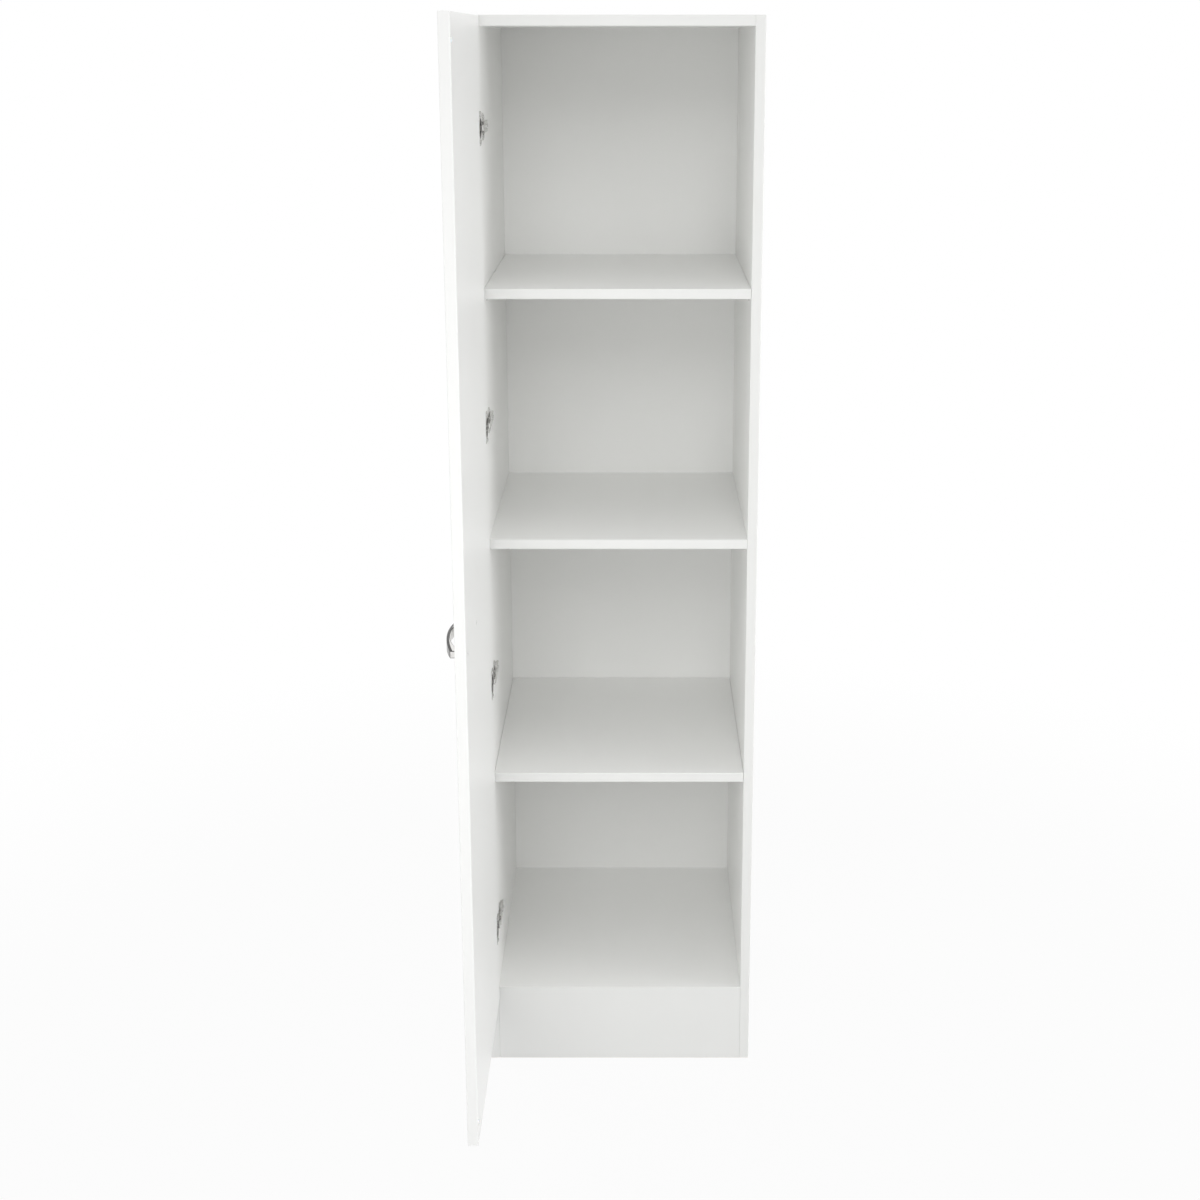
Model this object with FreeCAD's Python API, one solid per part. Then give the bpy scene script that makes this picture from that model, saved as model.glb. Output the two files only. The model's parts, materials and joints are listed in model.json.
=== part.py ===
import FreeCAD, Part
import math
import os

# Tall broom cupboard: a board carcass with three shelves, a plain back and one full-height
# overlay door on four cup hinges. Millimetres, +Z up, the front faces -Y.
# The origin is the middle of the plinth board's underside, on the floor.
# The door is modelled shut and then swung to its stored place, a quarter turn open.

V = FreeCAD.Vector
X_AXIS = V(1, 0, 0)
Y_AXIS = V(0, 1, 0)
Z_AXIS = V(0, 0, 1)

# How far a cutting tool runs past a face, and the free depth behind a rod in a blind hole
OVERCUT = 1.0
HOLE_END_GAP = 0.5

# Overall sizes
WIDTH = 500.0
HEIGHT = 1950.0
DEPTH = 550.0

# Boards
BOARD = 18.0
BACK_BOARD = 3.0
EDGE_ROUND = 1.5
PLINTH_ROUND = 0.6

# Back panel in its grooves
BACK_RECESS = 8.0
GROOVE_DEPTH = 6.0
GROOVE_CLEARANCE = 0.3

# Plinth and shelves
PLINTH_HEIGHT = 151.0
LOWER_SHELF_TOP = 593.0
MIDDLE_SHELF_TOP = 1043.0
UPPER_SHELF_TOP = 1493.0
SHELF_SIDE_CLEARANCE = 0.5
SHELF_BACK_CLEARANCE = 1.0

# Door
DOOR_THICKNESS = 18.0
DOOR_REVEAL = 1.5
DOOR_GAP = 3.0
DOOR_BOTTOM = 131.0
DOOR_TOP_REVEAL = 0.5
DOOR_OPEN_ANGLE = 90.0
BUFFER_RADIUS = 4.0
BUFFER_THICKNESS = 2.7
BUFFER_ROUND = 1.2
BUFFER_INSET = 9.0
BUFFER_END_INSET = 40.0

# Hinges
HINGE_HEIGHTS = {"top": 1766.0, "upper": 1254.0, "lower": 778.0, "bottom": 288.0}
PIVOT_ALONG = 7.2
PIVOT_DEPTH = 10.8
PIN_RADIUS = 1.25
PIN_HALF_LENGTH = 7.5
PIN_RUNNING_CLEARANCE = 0.05
PIN_FIT_CLEARANCE = 0.02
PIN_END_GAP = 0.1
CUP_EDGE_DISTANCE = 3.0
CUP_RADIUS = 17.4
CUP_BORE_CLEARANCE = 0.1
CUP_DEPTH = 14.0
CUP_WALL = 0.8
RIM_OVERHANG = 0.9
FLANGE_HEIGHT = 57.0
FLANGE_WIDTH = 24.0
FLANGE_THICKNESS = 1.2
FLANGE_CORNER = 5.0
LUG_GAP = 0.4
LUG_LENGTH = 2.2
LUG_HALF_WIDTH = 2.2
LUG_ROOT = 2.0
CUP_SCREW_SPACING = 45.0
ARM_SHEET = 1.6
ARM_NOSE_HALF_HEIGHT = 5.0
ARM_HALF_HEIGHT = 10.0
ARM_KNUCKLE_WALL = 0.8
ARM_SWEEP_CLEARANCE = 0.8
ARM_STANDOFF = 4.4
ARM_LENGTH = 84.0
ARM_SHOULDER = 8.0
ARM_LIP = 3.6
ARM_END_ROUND = 6.0
ARM_BEND_ROUND = 1.4
ARM_EDGE_ROUND = 0.9
PLATE_THICKNESS = 2.0
PLATE_HALF_HEIGHT = 8.0
RIB_HALF_HEIGHT = 6.5
RIB_END_GAP = 3.0
PLATE_START = 20.0
PLATE_END = 78.0
WING_HALF_HEIGHT = 23.0
WING_HALF_DEPTH = 8.0
WING_TIP_ROUND = 5.6
SCREW_LINE = 37.0
PLATE_SCREW_SPACING = 32.0
ARM_SCREW_LINES = (52.0, 68.0)

# Screws and nails: (head radius, head height, shank radius, shank length)
HANDLE_SCREW_DEPTH = 6.0
HANDLE_SCREW_SINK = 2.6
HANDLE_SCREW_POCKET_CLEARANCE = 0.3
PLATE_SCREW = (4.2, 1.6, 2.5, 11.0)
CUP_SCREW = (3.6, 1.4, 1.75, 12.0)
ARM_SCREW = (3.4, 1.6, 2.0, 3.4)
HANDLE_SCREW = (4.3, 2.2, 2.0, DOOR_THICKNESS - HANDLE_SCREW_SINK + HANDLE_SCREW_DEPTH)
NAIL = (3.0, 0.8, 0.9, 22.0)
SCREW_HOLE_CLEARANCE = 0.08
HEAD_ROUND = 0.5
RECESS_WIDTH = 1.0
RECESS_DEPTH = 0.8
RECESS_REACH = 0.6

# Handle
HANDLE_HEIGHT_ON_DOOR = 984.0
HANDLE_EDGE_DISTANCE = 28.0
HANDLE_HOLE_SPACING = 160.0
HANDLE_FOOT = 12.0
HANDLE_PROJECTION = 22.0
HANDLE_END_PROJECTION = 10.0
HANDLE_GRIP_THICKNESS = 4.6
HANDLE_END_WIDTH = 12.0
HANDLE_GRIP_WIDTH = 18.0
HANDLE_ROUND = 1.3
HANDLE_BORE_CLEARANCE = 0.25

# Knock-down fittings
CAM_RADIUS = 7.5
CAM_HEIGHT = 12.4
CAM_CLEARANCE = 0.1
CAM_FACE_SINK = 0.2
CAM_DISTANCE = 34.0
CAM_CROSS = 8.0
CAM_CROSS_WIDTH = 1.8
CAM_CROSS_DEPTH = 2.0
BOLT_RADIUS = 3.0
BOLT_IN_SIDE = 11.0
BOLT_CLEARANCE = 0.05
FRONT_CAM_LINE = 60.0
BACK_CAM_LINE = 90.0
DOWEL_RADIUS = 4.0
DOWEL_IN_SIDE = 11.0
DOWEL_IN_BOARD = 24.0
DOWEL_CLEARANCE = 0.05
DOWEL_FROM_CAM = 32.0
PLINTH_DOWEL_HEIGHTS = (35.0, 95.0)
PLINTH_TOP_DOWEL_X = 120.0
NAIL_PITCH = 140.0
NAIL_COLUMNS = (-1.5, -0.5, 0.5, 1.5)

# Shelf pins
PIN_SHANK_RADIUS = 2.5
PIN_SHANK_LENGTH = 9.0
PIN_PLATE_LENGTH = 9.0
PIN_PLATE_WIDTH = 9.0
PIN_PLATE_THICKNESS = 2.0
PIN_WEB_HEIGHT = 8.0
PIN_FRONT_LINE = 50.0
PIN_BACK_LINE = 80.0

# Levels and planes that follow from the sizes above
FRONT = -BOARD / 2
BACK = FRONT + DEPTH
SIDE_INNER = WIDTH / 2 - BOARD
BACK_PANEL_REAR = BACK - BACK_RECESS
BACK_PANEL_FRONT = BACK_PANEL_REAR - BACK_BOARD
BOTTOM_UNDERSIDE = PLINTH_HEIGHT - BOARD
TOP_UNDERSIDE = HEIGHT - BOARD
DOOR_INNER = FRONT - DOOR_GAP
DOOR_OUTER = DOOR_INNER - DOOR_THICKNESS
DOOR_HINGE_EDGE = -WIDTH / 2 + DOOR_REVEAL
DOOR_FREE_EDGE = WIDTH / 2 - DOOR_REVEAL
DOOR_TOP = HEIGHT - DOOR_TOP_REVEAL
PIVOT_X = DOOR_HINGE_EDGE + PIVOT_ALONG
PIVOT_Y = DOOR_INNER - PIVOT_DEPTH
CUP_X = DOOR_HINGE_EDGE + CUP_EDGE_DISTANCE + CUP_RADIUS + CUP_BORE_CLEARANCE
# The rim of the cup sweeps this far from the pin. The arm passes just outside it, and never
# closer to the side panel than its standoff.
RIM_SWEEP = math.hypot(
    PIVOT_X - (CUP_X - CUP_RADIUS - RIM_OVERHANG), PIVOT_DEPTH + FLANGE_THICKNESS
)
ARM_INNER_X = max(PIVOT_X + RIM_SWEEP + ARM_SWEEP_CLEARANCE, -SIDE_INNER + ARM_STANDOFF)
ARM_OUTER_X = ARM_INNER_X + ARM_SHEET
HANDLE_X = DOOR_FREE_EDGE - HANDLE_EDGE_DISTANCE - (HANDLE_HOLE_SPACING + HANDLE_FOOT) / 2
SHELF_TOPS = {
    "lower": LOWER_SHELF_TOP,
    "middle": MIDDLE_SHELF_TOP,
    "upper": UPPER_SHELF_TOP,
}
FIXED_BOARDS = (BOTTOM_UNDERSIDE, MIDDLE_SHELF_TOP - BOARD, TOP_UNDERSIDE)
CAM_LINES = (FRONT + FRONT_CAM_LINE, BACK - BACK_CAM_LINE)
SHELF_PIN_LINES = (FRONT + PIN_FRONT_LINE, BACK - PIN_BACK_LINE)


def box(x0, x1, y0, y1, z0, z1):
    """A block between two corners."""
    return Part.makeBox(x1 - x0, y1 - y0, z1 - z0, V(x0, y0, z0))


def rod(start, direction, radius, length):
    """A round bar from a point along a direction."""
    return Part.makeCylinder(radius, length, start, direction)


def near(a, b):
    return abs(a - b) < 1e-6


def soften(shape, on_edge, radius=EDGE_ROUND):
    """Rounds the long straight edges whose two ends both pass the test."""
    edges = []
    for edge in shape.Edges:
        ends = [vertex.Point for vertex in edge.Vertexes]
        if len(ends) == 2 and all(on_edge(end) for end in ends) and edge.Length > 2 * BOARD:
            edges.append(edge)
    return shape.makeFillet(radius, edges)


def cut_all(shape, tools):
    return shape.cut(Part.makeCompound(tools))


def screw(point, inward, sizes):
    """A cross-recess screw: its head sits on the surface at the point, its shank runs inward."""
    head_radius, head_height, shank_radius, shank_length = sizes
    origin = V(0, 0, 0)
    head = rod(origin, Z_AXIS, head_radius, head_height)
    rim = [e for e in head.Edges if all(near(v.Point.z, head_height) for v in e.Vertexes)]
    head = head.makeFillet(HEAD_ROUND, rim)
    body = head.fuse(rod(origin, Z_AXIS * -1, shank_radius, shank_length))
    reach, half = RECESS_REACH * head_radius, RECESS_WIDTH / 2
    for hx, hy in ((reach, half), (half, reach)):
        body = body.cut(box(-hx, hx, -hy, hy, head_height - RECESS_DEPTH, head_height + OVERCUT))
    body.Placement = FreeCAD.Placement(point, FreeCAD.Rotation(Z_AXIS, inward * -1))
    return body


def screw_hole(point, inward, sizes):
    """The hole that a screw's shank runs in."""
    radius = sizes[2] + SCREW_HOLE_CLEARANCE
    return rod(point - inward * OVERCUT, inward, radius, sizes[3] + OVERCUT + HOLE_END_GAP)


# ---------------------------------------------------------------- carcass joints


def side_sign_points():
    """(side sign, line along Y, mid height) of every cam joint in the fixed boards."""
    for sign in (-1, 1):
        for underside in FIXED_BOARDS:
            for line in CAM_LINES:
                yield sign, line, underside + BOARD / 2


def dowel_line(line):
    """The dowel sits beside its cam, towards the middle of the board."""
    middle = (CAM_LINES[0] + CAM_LINES[1]) / 2
    return line + math.copysign(DOWEL_FROM_CAM, middle - line)


def cross_dowels():
    """Each dowel between a side panel and a board: (side sign, y, z)."""
    for sign, line, height in side_sign_points():
        yield sign, dowel_line(line), height
    for sign in (-1, 1):
        for height in PLINTH_DOWEL_HEIGHTS:
            yield sign, FRONT + BOARD / 2, height


def cam_side(height):
    """Cams face up in the top panel and down in the others."""
    return 1 if height > TOP_UNDERSIDE else -1


def joint_rod(sign, y, z, radius, in_side, in_board):
    """A bar across the joint between a side panel and a board's end."""
    start = V(sign * (SIDE_INNER + in_side), y, z)
    return rod(start, X_AXIS * -sign, radius, in_side + in_board)


def cam_centre(sign, y, z):
    face = z + cam_side(z) * BOARD / 2
    return V(sign * (SIDE_INNER - CAM_DISTANCE), y, face)


def board_joint_cuts(height):
    """Cam pockets, bolt bores and dowel holes in one fixed board."""
    tools = []
    for sign, line, level in side_sign_points():
        if not near(level, height):
            continue
        inward = Z_AXIS * -cam_side(level)
        pocket_depth = CAM_FACE_SINK + CAM_HEIGHT + HOLE_END_GAP
        tools.append(rod(cam_centre(sign, line, level), inward, CAM_RADIUS + CAM_CLEARANCE, pocket_depth))
        bore = BOLT_RADIUS + BOLT_CLEARANCE
        tools.append(joint_rod(sign, line, level, bore, OVERCUT, CAM_DISTANCE))
        hole = DOWEL_RADIUS + DOWEL_CLEARANCE
        reach = DOWEL_IN_BOARD + HOLE_END_GAP
        tools.append(joint_rod(sign, dowel_line(line), level, hole, OVERCUT, reach))
    return tools


def side_joint_cuts(sign):
    """Bolt, dowel and shelf pin holes in the inner face of one side panel."""
    rods = []
    for side, line, level in side_sign_points():
        rods.append((side, line, level, BOLT_RADIUS + BOLT_CLEARANCE, BOLT_IN_SIDE))
    for side, line, level in cross_dowels():
        rods.append((side, line, level, DOWEL_RADIUS + DOWEL_CLEARANCE, DOWEL_IN_SIDE))
    for side, line, top in shelf_pin_places():
        level = shelf_pin_level(top)
        rods.append((side, line, level, PIN_SHANK_RADIUS + SCREW_HOLE_CLEARANCE, PIN_SHANK_LENGTH))
    tools = []
    for side, line, level, radius, depth in rods:
        if side == sign:
            tools.append(joint_rod(sign, line, level, radius, depth + HOLE_END_GAP, OVERCUT))
    return tools


def shelf_pin_places():
    """(side sign, y, shelf top) of every pin under the two loose shelves."""
    for sign in (-1, 1):
        for name in ("lower", "upper"):
            for line in SHELF_PIN_LINES:
                yield sign, line, SHELF_TOPS[name]


def shelf_pin_level(top):
    """Height of the round shank of a pin that carries a shelf with this top."""
    return top - BOARD - PIN_PLATE_THICKNESS - PIN_SHANK_RADIUS


def nail_points(height):
    """Nails through the back panel into one fixed board's rear edge."""
    return [V(column * NAIL_PITCH, BACK_PANEL_REAR, height) for column in NAIL_COLUMNS]


def nail_holes(height):
    return [screw_hole(point, Y_AXIS * -1, NAIL) for point in nail_points(height)]


# ---------------------------------------------------------------- boards


def side_panel(sign):
    """Full-height side, grooved for the back and drilled for its fittings."""
    x0, x1 = sorted((sign * SIDE_INNER, sign * WIDTH / 2))
    panel = box(x0, x1, FRONT, BACK, 0, HEIGHT)
    groove_floor = sign * (SIDE_INNER + GROOVE_DEPTH)
    gx0, gx1 = sorted((sign * (SIDE_INNER - OVERCUT), groove_floor))
    slot = GROOVE_CLEARANCE / 2
    groove = box(gx0, gx1, BACK_PANEL_FRONT - slot, BACK_PANEL_REAR + slot, -OVERCUT, HEIGHT + OVERCUT)
    tools = [groove] + side_joint_cuts(sign)
    if sign < 0:
        tools += [screw_hole(point, X_AXIS * -1, PLATE_SCREW) for point in plate_screw_points(0.0)]
    panel = cut_all(panel, tools)
    panel = soften(panel, lambda p: near(p.z, HEIGHT) and near(p.x, sign * WIDTH / 2))
    return soften(panel, lambda p: near(p.y, FRONT))


def top_panel():
    panel = box(-SIDE_INNER, SIDE_INNER, FRONT, BACK_PANEL_FRONT, TOP_UNDERSIDE, HEIGHT)
    level = TOP_UNDERSIDE + BOARD / 2
    panel = cut_all(panel, board_joint_cuts(level) + nail_holes(level))
    return soften(panel, lambda p: near(p.y, FRONT))


def bottom_panel():
    """Behind the plinth board, with its top level with the plinth's."""
    front = FRONT + BOARD
    panel = box(-SIDE_INNER, SIDE_INNER, front, BACK_PANEL_FRONT, BOTTOM_UNDERSIDE, PLINTH_HEIGHT)
    level = BOTTOM_UNDERSIDE + BOARD / 2
    tools = board_joint_cuts(level) + nail_holes(level)
    for x in (-PLINTH_TOP_DOWEL_X, PLINTH_TOP_DOWEL_X):
        start = V(x, front - OVERCUT, level)
        depth = OVERCUT + DOWEL_IN_BOARD + HOLE_END_GAP
        tools.append(rod(start, Y_AXIS, DOWEL_RADIUS + DOWEL_CLEARANCE, depth))
    return cut_all(panel, tools)


def plinth_board():
    board = box(-SIDE_INNER, SIDE_INNER, FRONT, FRONT + BOARD, 0, PLINTH_HEIGHT)
    hole = DOWEL_RADIUS + DOWEL_CLEARANCE
    tools = []
    for sign in (-1, 1):
        for height in PLINTH_DOWEL_HEIGHTS:
            reach = DOWEL_IN_BOARD + HOLE_END_GAP
            tools.append(joint_rod(sign, FRONT + BOARD / 2, height, hole, OVERCUT, reach))
    for x in (-PLINTH_TOP_DOWEL_X, PLINTH_TOP_DOWEL_X):
        start = V(x, FRONT + BOARD + OVERCUT, BOTTOM_UNDERSIDE + BOARD / 2)
        tools.append(rod(start, Y_AXIS * -1, hole, OVERCUT + DOWEL_IN_SIDE + HOLE_END_GAP))
    board = cut_all(board, tools)
    return soften(board, lambda p: near(p.y, FRONT) and near(p.z, PLINTH_HEIGHT), PLINTH_ROUND)


def shelf(name):
    """The middle shelf is fixed between the sides and the back; the others lie on pins."""
    top = SHELF_TOPS[name]
    fixed = name == "middle"
    half = SIDE_INNER if fixed else SIDE_INNER - SHELF_SIDE_CLEARANCE
    back = BACK_PANEL_FRONT if fixed else BACK_PANEL_FRONT - SHELF_BACK_CLEARANCE
    board = box(-half, half, FRONT, back, top - BOARD, top)
    if fixed:
        tools = board_joint_cuts(top - BOARD / 2) + nail_holes(top - BOARD / 2)
        board = cut_all(board, tools)
    return soften(board, lambda p: near(p.y, FRONT))


def back_panel():
    half = SIDE_INNER + GROOVE_DEPTH - GROOVE_CLEARANCE
    panel = box(-half, half, BACK_PANEL_FRONT, BACK_PANEL_REAR, BOTTOM_UNDERSIDE, HEIGHT)
    return cut_all(panel, [hole for height in FIXED_BOARDS for hole in nail_holes(height + BOARD / 2)])


# ---------------------------------------------------------------- fittings


def cam_locks():
    """A disc with a driver cross in its open face, in every cam pocket."""
    cams = []
    for sign, line, level in side_sign_points():
        inward = Z_AXIS * -cam_side(level)
        centre = cam_centre(sign, line, level)
        cam = rod(centre + inward * CAM_FACE_SINK, inward, CAM_RADIUS, CAM_HEIGHT)
        cross_floor = centre.z + inward.z * (CAM_FACE_SINK + CAM_CROSS_DEPTH)
        z0, z1 = sorted((cross_floor, centre.z))
        long_side, short_side = CAM_CROSS / 2, CAM_CROSS_WIDTH / 2
        for hx, hy in ((long_side, short_side), (short_side, long_side)):
            bar = box(centre.x - hx, centre.x + hx, centre.y - hy, centre.y + hy, z0, z1)
            cam = cam.cut(bar)
        cams.append(cam)
    return Part.makeCompound(cams)


def cam_bolts():
    reach = CAM_DISTANCE - CAM_RADIUS - CAM_CLEARANCE
    bolts = [joint_rod(s, y, z, BOLT_RADIUS, BOLT_IN_SIDE, reach) for s, y, z in side_sign_points()]
    return Part.makeCompound(bolts)


def dowels():
    pegs = [joint_rod(s, y, z, DOWEL_RADIUS, DOWEL_IN_SIDE, DOWEL_IN_BOARD) for s, y, z in cross_dowels()]
    for x in (-PLINTH_TOP_DOWEL_X, PLINTH_TOP_DOWEL_X):
        start = V(x, FRONT + BOARD - DOWEL_IN_SIDE, BOTTOM_UNDERSIDE + BOARD / 2)
        pegs.append(rod(start, Y_AXIS, DOWEL_RADIUS, DOWEL_IN_SIDE + DOWEL_IN_BOARD))
    return Part.makeCompound(pegs)


def back_nails():
    nails = []
    for height in FIXED_BOARDS:
        for point in nail_points(height + BOARD / 2):
            head = rod(point, Y_AXIS, NAIL[0], NAIL[1])
            nails.append(head.fuse(rod(point, Y_AXIS * -1, NAIL[2], NAIL[3])))
    return Part.makeCompound(nails)


def shelf_pins():
    """A spoon pin: a round shank in the side, a web and a flat seat under the shelf."""
    pins = []
    for sign, line, top in shelf_pin_places():
        seat = top - BOARD
        half = PIN_PLATE_WIDTH / 2
        x0, x1 = sorted((sign * SIDE_INNER, sign * (SIDE_INNER - PIN_PLATE_LENGTH)))
        wx0, wx1 = sorted((sign * SIDE_INNER, sign * (SIDE_INNER - PIN_PLATE_THICKNESS)))
        plate = box(x0, x1, line - half, line + half, seat - PIN_PLATE_THICKNESS, seat)
        web = box(wx0, wx1, line - half, line + half, seat - PIN_WEB_HEIGHT, seat)
        level = shelf_pin_level(top)
        shank = joint_rod(sign, line, level, PIN_SHANK_RADIUS, PIN_SHANK_LENGTH, PIN_PLATE_THICKNESS)
        pins.append(plate.fuse(web).fuse(shank).removeSplitter())
    return Part.makeCompound(pins)


# ---------------------------------------------------------------- hinges


def plate_screw_points(plate_thickness):
    """Where the mounting plates' screws meet the side panel, or the plate on it."""
    x = -SIDE_INNER + plate_thickness
    points = []
    for height in HINGE_HEIGHTS.values():
        for half in (-PLATE_SCREW_SPACING / 2, PLATE_SCREW_SPACING / 2):
            points.append(V(x, FRONT + SCREW_LINE, height + half))
    return points


def hinge_plate(height):
    """Cross-shaped mounting plate on the side panel with a rib that carries the arm."""
    x0 = -SIDE_INNER
    base = box(x0, x0 + PLATE_THICKNESS, FRONT + PLATE_START, FRONT + PLATE_END,
               height - PLATE_HALF_HEIGHT, height + PLATE_HALF_HEIGHT)
    wings = box(x0, x0 + PLATE_THICKNESS,
                FRONT + SCREW_LINE - WING_HALF_DEPTH, FRONT + SCREW_LINE + WING_HALF_DEPTH,
                height - WING_HALF_HEIGHT, height + WING_HALF_HEIGHT)
    tips = [edge for edge in wings.Edges if near(edge.Length, PLATE_THICKNESS)]
    wings = wings.makeFillet(WING_TIP_ROUND, tips)
    rib = box(x0, ARM_INNER_X, FRONT + PLATE_START + RIB_END_GAP, FRONT + PLATE_END - RIB_END_GAP,
              height - RIB_HALF_HEIGHT, height + RIB_HALF_HEIGHT)
    plate = base.fuse(wings).fuse(rib).removeSplitter()
    tools = []
    for half in (-PLATE_SCREW_SPACING / 2, PLATE_SCREW_SPACING / 2):
        start = V(x0 + PLATE_THICKNESS, FRONT + SCREW_LINE, height + half)
        tools.append(screw_hole(start, X_AXIS * -1, PLATE_SCREW))
    for line in ARM_SCREW_LINES:
        tools.append(screw_hole(V(ARM_OUTER_X, FRONT + line, height), X_AXIS * -1, ARM_SCREW))
    return cut_all(plate, tools)


def hinge_arm(height):
    """Bent sheet: a knuckle on the pin, a crank that clears the cup's rim, and the long
    channel over the mounting plate, with its two lips turned towards the side panel."""
    half_sheet = ARM_SHEET / 2
    knuckle = PIN_RADIUS + PIN_RUNNING_CLEARANCE + ARM_KNUCKLE_WALL
    shoulder = FRONT + ARM_SHOULDER
    tail = FRONT + ARM_LENGTH
    nose_low, nose_high = height - ARM_NOSE_HALF_HEIGHT, height + ARM_NOSE_HALF_HEIGHT
    low, high = height - ARM_HALF_HEIGHT, height + ARM_HALF_HEIGHT
    ring = rod(V(PIVOT_X, PIVOT_Y, nose_low), Z_AXIS, knuckle, 2 * ARM_NOSE_HALF_HEIGHT)
    crank = box(PIVOT_X, ARM_OUTER_X, PIVOT_Y - half_sheet, PIVOT_Y + half_sheet, nose_low, nose_high)
    riser = box(ARM_INNER_X, ARM_OUTER_X, PIVOT_Y - half_sheet, shoulder, nose_low, nose_high)
    web = box(ARM_INNER_X, ARM_OUTER_X, shoulder, tail, low, high)
    lip_x = ARM_OUTER_X - ARM_LIP
    lower_lip = box(lip_x, ARM_OUTER_X, shoulder, tail - ARM_END_ROUND, low, low + ARM_SHEET)
    upper_lip = box(lip_x, ARM_OUTER_X, shoulder, tail - ARM_END_ROUND, high - ARM_SHEET, high)
    corners = [e for e in web.Edges
               if near(e.Length, ARM_SHEET) and near(e.Vertexes[0].Point.y, tail)]
    web = web.makeFillet(ARM_END_ROUND, corners)
    arm = ring.fuse([crank, riser, web, lower_lip, upper_lip]).removeSplitter()
    outer_bend = [e for e in arm.Edges
                  if near(e.Length, 2 * ARM_NOSE_HALF_HEIGHT)
                  and all(near(v.Point.x, ARM_OUTER_X) and v.Point.y < FRONT for v in e.Vertexes)]
    arm = arm.makeFillet(ARM_BEND_ROUND, outer_bend)
    long_edges = [e for e in arm.Edges
                  if e.Length > ARM_LENGTH / 2 and near(e.Vertexes[0].Point.x, ARM_OUTER_X)]
    arm = arm.makeFillet(ARM_EDGE_ROUND, long_edges)
    tools = [rod(V(PIVOT_X, PIVOT_Y, nose_low - OVERCUT), Z_AXIS,
                 PIN_RADIUS + PIN_RUNNING_CLEARANCE, 2 * (ARM_NOSE_HALF_HEIGHT + OVERCUT))]
    for line in ARM_SCREW_LINES:
        tools.append(screw_hole(V(ARM_OUTER_X, FRONT + line, height), X_AXIS * -1, ARM_SCREW))
    return cut_all(arm, tools)


def hinge_cup(height):
    """Drawn cup with its rim, the screw flange above and below, and two lugs for the pin."""
    y = DOOR_INNER
    centre = V(CUP_X, y, height)
    inner = CUP_RADIUS - CUP_WALL
    floor = CUP_DEPTH - CUP_WALL
    half_flange = FLANGE_WIDTH / 2
    cup = rod(centre, Y_AXIS * -1, CUP_RADIUS, CUP_DEPTH)
    flange = box(CUP_X - half_flange, CUP_X + half_flange, y, y + FLANGE_THICKNESS,
                 height - FLANGE_HEIGHT / 2, height + FLANGE_HEIGHT / 2)
    corners = [e for e in flange.Edges if near(e.Length, FLANGE_THICKNESS)]
    flange = flange.makeFillet(FLANGE_CORNER, corners)
    rim = rod(centre, Y_AXIS, CUP_RADIUS + RIM_OVERHANG, FLANGE_THICKNESS)
    mouth = FLANGE_THICKNESS + OVERCUT
    hollow = rod(centre + Y_AXIS * mouth, Y_AXIS * -1, inner, floor + mouth)
    body = cup.fuse([flange, rim]).removeSplitter().cut(hollow)
    inside = rod(centre, Y_AXIS * -1, inner + CUP_WALL / 2, floor + CUP_WALL / 2)
    lug_start = ARM_NOSE_HALF_HEIGHT + LUG_GAP
    for sign in (-1, 1):
        z0, z1 = sorted((height + sign * lug_start, height + sign * (lug_start + LUG_LENGTH)))
        lug = box(PIVOT_X - LUG_HALF_WIDTH - LUG_ROOT, PIVOT_X + LUG_HALF_WIDTH,
                  PIVOT_Y - LUG_HALF_WIDTH - LUG_ROOT, PIVOT_Y + LUG_HALF_WIDTH, z0, z1)
        body = body.fuse(lug.common(inside))
    tools = [rod(V(PIVOT_X, PIVOT_Y, height - PIN_HALF_LENGTH), Z_AXIS,
                 PIN_RADIUS + PIN_FIT_CLEARANCE, 2 * PIN_HALF_LENGTH)]
    for point in cup_screw_points(height):
        tools.append(screw_hole(point, Y_AXIS * -1, CUP_SCREW))
    return cut_all(body.removeSplitter(), tools)


def cup_screw_points(height):
    """Where the cup's screws meet the top of the flange."""
    y = DOOR_INNER + FLANGE_THICKNESS
    half = CUP_SCREW_SPACING / 2
    return [V(CUP_X, y, height - half), V(CUP_X, y, height + half)]


def hinge_pins():
    length = 2 * (PIN_HALF_LENGTH - PIN_END_GAP)
    pins = [rod(V(PIVOT_X, PIVOT_Y, height - length / 2), Z_AXIS, PIN_RADIUS, length)
            for height in HINGE_HEIGHTS.values()]
    return Part.makeCompound(pins)


def plate_screws():
    points = plate_screw_points(PLATE_THICKNESS)
    return Part.makeCompound([screw(p, X_AXIS * -1, PLATE_SCREW) for p in points])


def arm_screws():
    screws = []
    for height in HINGE_HEIGHTS.values():
        for line in ARM_SCREW_LINES:
            point = V(ARM_OUTER_X, FRONT + line, height)
            screws.append(screw(point, X_AXIS * -1, ARM_SCREW))
    return Part.makeCompound(screws)


def cup_screws():
    screws = []
    for height in HINGE_HEIGHTS.values():
        for point in cup_screw_points(height):
            screws.append(screw(point, Y_AXIS * -1, CUP_SCREW))
    return Part.makeCompound(screws)


# ---------------------------------------------------------------- door and handle


def handle_screw_points():
    """Where the handle screws' heads seat, in pockets sunk into the inner face of the door."""
    half = HANDLE_HOLE_SPACING / 2
    seat = DOOR_INNER - HANDLE_SCREW_SINK
    return [V(HANDLE_X + s * half, seat, HANDLE_HEIGHT_ON_DOOR) for s in (-1, 1)]


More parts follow.
